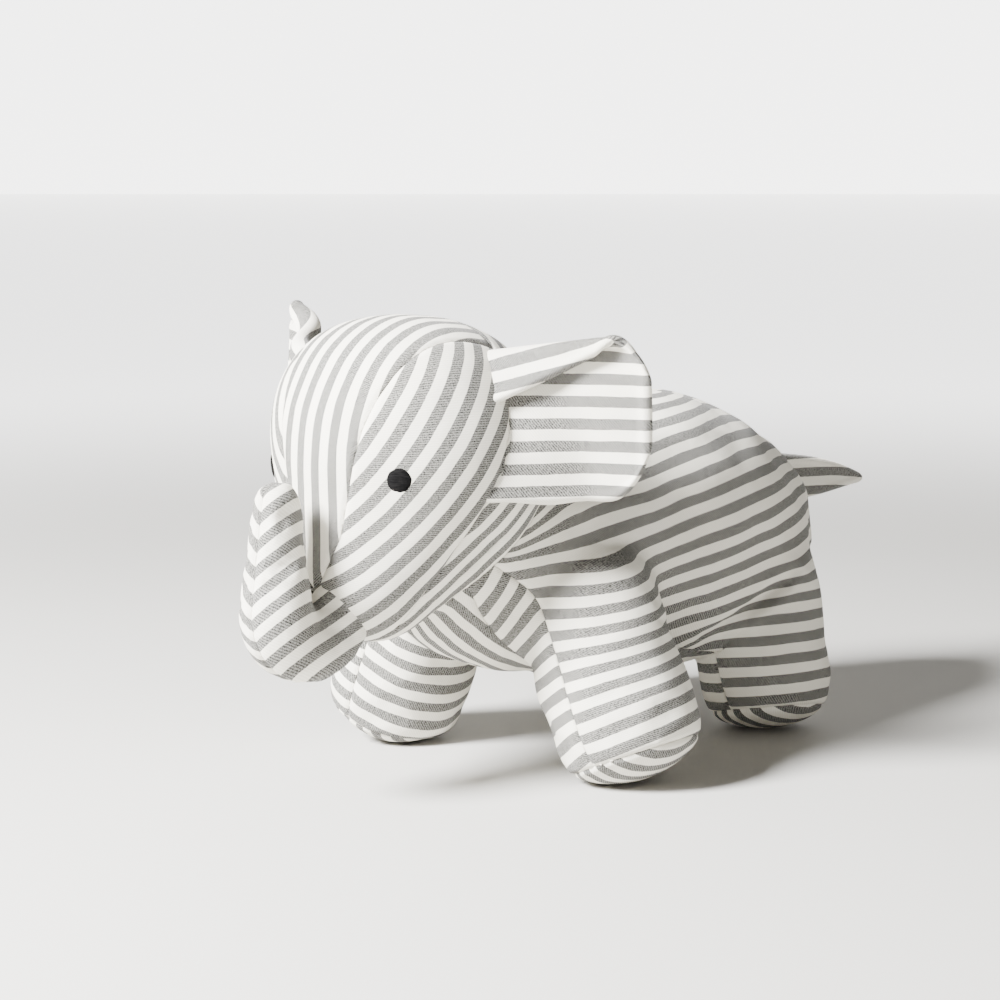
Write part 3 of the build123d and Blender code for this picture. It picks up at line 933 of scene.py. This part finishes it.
for k in range(1, 5):
    a = math.radians(84) * k / 4
    centre = FOOT_OF_RISE + Vector((0, 0.9, RISE + 8.4 * math.sin(a))) * MM
    stations.append((centre, UPWARD, TIP_RADIUS * math.cos(a) * MM))
trunk = tube("trunk_volume", stations, 40)
remesh(trunk, TRUNK_VOXEL)
relax(trunk, 5, 1.0)
p = coords(trunk)
pinned = np.clip(1.3 - np.abs(p[:, 0]) / (2.2 * MM), 0, 1)
puff(trunk, pinned, 6.0, 2.0 * MM, 0.03)
mod = trunk.modifiers.new("fine", "SUBSURF")
mod.levels = mod.render_levels = 1
apply_modifiers(trunk)
for points, depth, width in (
    ([(10, -170, 66), (0, -175, 63.5), (-10, -170, 66)], 0.9, 2.2),
    ([(12, -163, 79), (13.5, -170, 84), (12, -176, 87)], 0.6, 2.0),
    ([(-12, -163, 79), (-13.5, -170, 84), (-12, -176, 87)], 0.6, 2.0),
    ([(12, -176, 76), (9, -168, 72), (3, -160, 70)], 0.7, 2.2),
):
    crease(trunk, points, depth * MM, width * MM)
bm = bmesh.new()
bm.from_mesh(trunk.data)
geom = bm.verts[:] + bm.edges[:] + bm.faces[:]
bmesh.ops.bisect_plane(bm, geom=geom, dist=SEAM_SNAP, plane_co=(0, 0, 0), plane_no=(1, 0, 0))
inside = []
for f in bm.faces:
    c = f.calc_center_median()
    hit = doll_tree.find_nearest(c)
    if (c - hit[0]).dot(hit[1]) < -4.5 * MM and c.y > -176 * MM and c.z < 112 * MM:
        inside.append(f)
bmesh.ops.delete(bm, geom=inside, context="FACES")
trunk_mesh = bpy.data.meshes.new("trunk_cut")
bm.normal_update()
sides_of = {"left": [], "right": []}
bm.faces.index_update()
for f in bm.faces:
    sides_of["left" if f.calc_center_median().x > 0 else "right"].append(f.index)
bm.to_mesh(trunk_mesh)
bm.free()
bpy.data.objects.remove(trunk)


def trunk_stripes(sign):
    """Stripes that meet in a V on the outer seam and climb towards the head on the sides."""
    return along(-0.66 * sign, -0.32, 0.89)


for number, (side, sign) in enumerate((("left", 1), ("right", -1))):
    obj = panel_object("cloth_trunk_" + side, trunk_mesh, sides_of[side])
    unwrap(obj, trunk_stripes(sign), 0.3, 0.0, True)
    refine_border(obj, 2.5 * MM)
    tuck(obj, *TRUNK_TUCK, 40 + number)
    thicken(obj, TRUNK_CLOTH)
    dress(obj, TICKING, None, ["trunk_" + side] + (["trunk_stuffing"] if side == "left" else []))
    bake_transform(obj)


# -------------------------------------------------------------------------- ears
EAR_ROOT = Vector((45.0, -106.6, 0)) * MM
EAR_SWEEP = math.radians(28)
EAR_REACH = 61.0            # mm, along the ear from its root
EAR_HIDDEN = 12.0           # mm that run on inside the head
EAR_OUT = Vector((math.cos(EAR_SWEEP), math.sin(EAR_SWEEP), 0))
EAR_FACE = EAR_OUT.cross(Vector((0, 0, 1)))
EAR_PUSH = (120, 140, 160, 172, 184, 194), (19.0, 16.5, 8.5, 2.5, -6.0, -11.0)  # root forward, by height


def ear_edges(u):
    """Lowest and highest cloth height of the opened-out ear at u, and the crease height there, in mm."""
    t = min(max((u + EAR_HIDDEN) / (EAR_REACH + EAR_HIDDEN), 0), 1)
    tip = min(max((u - 38) / (EAR_REACH - 38), 0), 1)
    low = 123.6 - 2.4 * math.sin(t * math.pi) + 0.5 * math.sin(u / 4.2)
    low += 30.0 * (1 - math.sqrt(max(0, 1 - tip ** 2.6)))
    crease = 187.0 - 6.6 * (1 - min(max((u + EAR_HIDDEN) / 50, 0), 1))
    crease -= 24.0 * (1 - math.sqrt(max(0, 1 - tip ** 2.4)))
    flap = 25.0 * min(max((54.0 - u) / 66.0, 0), 1) ** 0.85
    return low, crease, flap


def ear_layer(name, front, side):
    """One cloth of an ear: a flat grid cut to the ear's outline, with its top rolled over forwards."""
    columns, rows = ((70, 110))
    reach = 60.2
    bm = bmesh.new()
    grid = bmesh.ops.create_grid(bm, x_segments=columns, y_segments=rows, size=0.5)["verts"]
    layer = bm.loops.layers.uv.new("pattern")
    rng = np.random.default_rng(11 + side)
    phases = rng.uniform(0, 6.28, 6)
    flat = {}
    for v in grid:
        s, t = v.co.x + 0.5, v.co.y + 0.5
        u = -EAR_HIDDEN + (reach + EAR_HIDDEN) * math.sin(s * math.pi / 2) ** 0.94
        low, crease, flap = ear_edges(u)
        height = low + (crease + flap - low) * t
        flat[v] = (u, height)
        edge = min(height - low, crease + flap - height, (reach - u) * 0.9)
        rim = math.exp(-(edge / 3.2) ** 2) if edge > 0 else 1
        # two cloths lie close together, with a plump turned edge outside the seam
        body = 1.6 * (1 - math.exp(-max(edge, 0) / 0.6)) + 0.8 * math.exp(-((edge - 2.6) / 1.8) ** 2)
        offset = body if front else -body
        wave = 1.0 * math.sin(u / 10.5 + phases[0]) * math.sin(height / 13.0 + phases[1])
        wave += 0.45 * math.sin(u / 5.1 + phases[2] + height / 9.0)
        wave += 0.25 * (1 - rim) * math.sin(height / 6.3 + phases[3])
        # the top rolls over and lies down in front, less and less towards the tip
        share = min(max(flap - 0.4, 0) / 7.0, 1.0) ** 0.7
        roll = 3.1
        start = -roll * math.pi / 2
        over = height - crease
        run = over - start
        if run > 0 and share > 0.02:
            bent = roll / share
            angle = min(run / bent, math.pi * (0.2 + 0.8 * share) if share < 1 else math.pi)
            past = max(0.0, run - angle * bent)
            w = bent - (bent - offset) * math.cos(angle) + past * (math.sin(angle) + 0.05)
            h = crease + start + (bent - offset) * math.sin(angle) + past * math.cos(angle)
        else:
            w = offset
            h = height
        w += wave * (0.25 + 0.75 * min(max((u + 6) / 20, 0), 1))
        # the ear cups a little forwards towards its tip
        w += 2.4 * (min(max(u / reach, 0), 1)) ** 2.2 - 0.6
        t = min(max((u + 4) / 42, 0), 1)
        w += (float(np.interp(h, *EAR_PUSH)) if side > 0 else 17.0) * (1 - t * t * (3 - 2 * t))
        v.co = EAR_ROOT + EAR_OUT * (u * MM) + Vector((0, 0, h * MM)) + EAR_FACE * (w * MM)
    for f in bm.faces:
        for loop in f.loops:
            u, height = flat[loop.vert]
            loop[layer].uv = (u * MM, (height - 122) * MM)
    obj = from_bmesh(name, bm)
    if side < 0:
        co = coords(obj)
        root = np.array(EAR_ROOT)
        out = np.array(EAR_OUT)
        far = np.clip(((co - root) @ out) / (61 * MM), 0, 1.1) ** 1.35
        co[:, 2] += far * 10.5 * MM * ramp(co[:, 2], 120 * MM, 165 * MM)
        co[:, 1] -= far * 9.0 * MM
        co[:, 0] *= -1
        set_coords(obj, co)
    bm = bmesh.new()
    bm.from_mesh(obj.data)
    bmesh.ops.recalc_face_normals(bm, faces=bm.faces)
    facing = Vector((EAR_FACE.x * side, EAR_FACE.y, 0)) * (1 if front else -1)
    low = [f for f in bm.faces if f.calc_center_median().z < 150 * MM]
    if sum(f.normal.dot(facing) for f in low) < 0:
        bmesh.ops.reverse_faces(bm, faces=bm.faces)
    bm.to_mesh(obj.data)
    bm.free()
    thicken(obj, EAR_CLOTH)
    body = "ear_left" if side > 0 else "ear_right"
    dress(obj, TICKING, None, body + ("_front" if front else "_back"))
    out = Vector((EAR_OUT.x * side, EAR_OUT.y, 0))
    root = Vector((EAR_ROOT.x * side, EAR_ROOT.y, 0.15)) + out * (8 * MM)
    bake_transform(obj)
    return obj


for side in (1, -1):
    word = "left" if side > 0 else "right"
    ear_layer("cloth_ear_" + word + "_front", True, side)
    ear_layer("cloth_ear_" + word + "_back", False, side)


# -------------------------------------------------------------------------- tail
TAIL_ROOT = 122.5           # mm, inside the rump
TAIL_TIP = 202.4


def tail_layer(name, side):
    """One cloth of the tail: a flat grid cut to its outline, a little plump at the edge."""
    bm = bmesh.new()
    grid = bmesh.ops.create_grid(bm, x_segments=90, y_segments=26, size=0.5)["verts"]
    layer = bm.loops.layers.uv.new("pattern")
    flat = {}
    for v in grid:
        s, t = v.co.x + 0.5, v.co.y + 0.5
        y = TAIL_ROOT + (TAIL_TIP - TAIL_ROOT) * s
        top = 117.3 - 9.5 * s - 8.2 * s ** 3
        low = 91.6 + 1.6 * s + 2.6 * s ** 2
        round_tip = math.sqrt(max(0.0, 1 - max(0.0, (s - 0.965) / 0.035) ** 2))
        middle = (top + low) / 2
        top = middle + (top - middle) * round_tip
        low = middle + (low - middle) * round_tip
        z = low + (top - low) * t
        edge = min(z - low, top - z, (TAIL_TIP - y) * 0.9)
        x = 1.3 * (1 - math.exp(-max(edge, 0) / 0.6)) + 0.8 * math.exp(-((edge - 2.2) / 1.5) ** 2)
        bend = 0.9 * math.sin(y / 11.0) * s + 0.5 * math.sin(z / 4.0 + y / 17.0)
        flat[v] = (y, z - middle)
        v.co = Vector((x * side + bend, y, z)) * MM
    for f in bm.faces:
        for loop in f.loops:
            y, z = flat[loop.vert]
            loop[layer].uv = (y * MM, z * MM + 0.25 * PITCH)
    bmesh.ops.recalc_face_normals(bm, faces=bm.faces)
    if sum(f.normal.x for f in bm.faces) * side < 0:
        bmesh.ops.reverse_faces(bm, faces=bm.faces)
    obj = from_bmesh(name, bm)
    thicken(obj, EAR_CLOTH)
    dress(obj, TICKING, None, "tail_" + ("left" if side > 0 else "right"))
    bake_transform(obj)


tail_layer("cloth_tail_left", 1)
tail_layer("cloth_tail_right", -1)


# -------------------------------------------------------------------------- eyes
def eye(side):
    """A satin-stitched disc: raised parallel threads with a slightly uneven edge."""
    spot = Vector((34.2 * side, -154.6, 133.4)) * MM
    hit = doll_tree.find_nearest(spot)
    centre = hit[0]
    outward = hit[1].normalized()
    up = (Vector((0, 0, 1)) - outward * outward.z).normalized()
    right = up.cross(outward).normalized()
    bm = bmesh.new()
    size = 120
    grid = bmesh.ops.create_grid(bm, x_segments=size, y_segments=size, size=1.0)["verts"]
    layer = bm.loops.layers.uv.new("pattern")
    flat = {}
    radius = 5.0
    for v in grid:
        a, b = v.co.x, v.co.y
        x = a * math.sqrt(1 - b * b / 2)
        y = b * math.sqrt(1 - a * a / 2)
        r = math.hypot(x, y)
        angle = math.atan2(y, x)
        edge = radius * (1 + 0.012 * math.sin(5 * angle + 1) + 0.01 * math.sin(11 * angle))
        px, py = x * edge, y * edge
        thread = abs(math.sin(py * math.pi / 0.46))
        lift = 0.95 * math.sqrt(max(0.0, 1 - r ** 2.6)) - 0.32 + 0.16 * thread * (1 - r ** 6)
        point = centre + (right * px + up * py) * MM + outward * (3 * MM)
        down = doll_tree.ray_cast(point, -outward)
        base = down[0] if down[0] is not None else centre
        flat[v] = (px, py)
        v.co = base + outward * (lift * MM)
    for f in bm.faces:
        for loop in f.loops:
            loop[layer].uv = (flat[loop.vert][0] * MM, flat[loop.vert][1] * MM)
    bmesh.ops.recalc_face_normals(bm, faces=bm.faces)
    if sum(f.normal.dot(outward) for f in bm.faces) < 0:
        bmesh.ops.reverse_faces(bm, faces=bm.faces)
    word = "left" if side > 0 else "right"
    obj = from_bmesh("stitched_eye_" + word, bm)
    dress(obj, THREAD, "head", "eye_" + word)


eye(1)
eye(-1)


# ------------------------------------------------------------ floor, light, camera
target = Vector((0.0, -0.0006, 0.097))
back = Vector((0.6497, -0.7474, 0.1392)).normalized()
right = Vector((0, 0, 1)).cross(back).normalized()
above = back.cross(right)

bm = bmesh.new()
bmesh.ops.create_grid(bm, x_segments=1, y_segments=1, size=14.0)
floor = from_bmesh("floor", bm)
# painted light: the floor glows from 0.55 m away from the toy, up to strength 2.6 by 1.8 m
floor.data.materials.append(glowing_floor(0.55, 1.8, 2.6))
bm = bmesh.new()
bmesh.ops.create_grid(bm, x_segments=1, y_segments=1, size=6.0)
bmesh.ops.rotate(bm, verts=bm.verts, matrix=Vector((back.x, back.y, 0)).to_track_quat("Z", "Y").to_matrix())
bmesh.ops.translate(bm, verts=bm.verts, vec=Vector((-back.x, -back.y, 0)).normalized() * 12.0)
backdrop = from_bmesh("backdrop", bm)
backdrop.data.materials.append(glowing_floor(0.0, 0.1, 4.0))

world = bpy.data.worlds.new("studio")
bpy.context.scene.world = world
world.use_nodes = True
world.node_tree.nodes["Background"].inputs[0].default_value = (1.0, 0.955, 0.86, 1)
world.node_tree.nodes["Background"].inputs[1].default_value = 0.22


def softbox(name, toward, distance, size, power):
    light = bpy.data.lights.new(name, "AREA")
    light.shape = "DISK"
    light.size = size
    light.energy = power
    lamp = bpy.data.objects.new(name, light)
    lamp.location = target + toward.normalized() * distance
    lamp.rotation_euler = toward.to_track_quat("Z", "Y").to_euler()
    bpy.context.scene.collection.objects.link(lamp)


softbox("key", back * 0.587 - right * 0.645 + above * 0.489, 1.5, 0.5, 205.0)
softbox("fill", back * 0.9 + right * 0.6 + above * 0.25, 1.8, 1.0, 2.0)

camera = bpy.data.cameras.new("camera")
camera.sensor_width = 36.0
camera.lens = 98.2
camera.shift_x = -0.094
camera.shift_y = 0.022
viewer = bpy.data.objects.new("camera", camera)
viewer.location = target + back * 1.2
viewer.rotation_euler = back.to_track_quat("Z", "Y").to_euler()
bpy.context.scene.collection.objects.link(viewer)
bpy.context.scene.camera = viewer
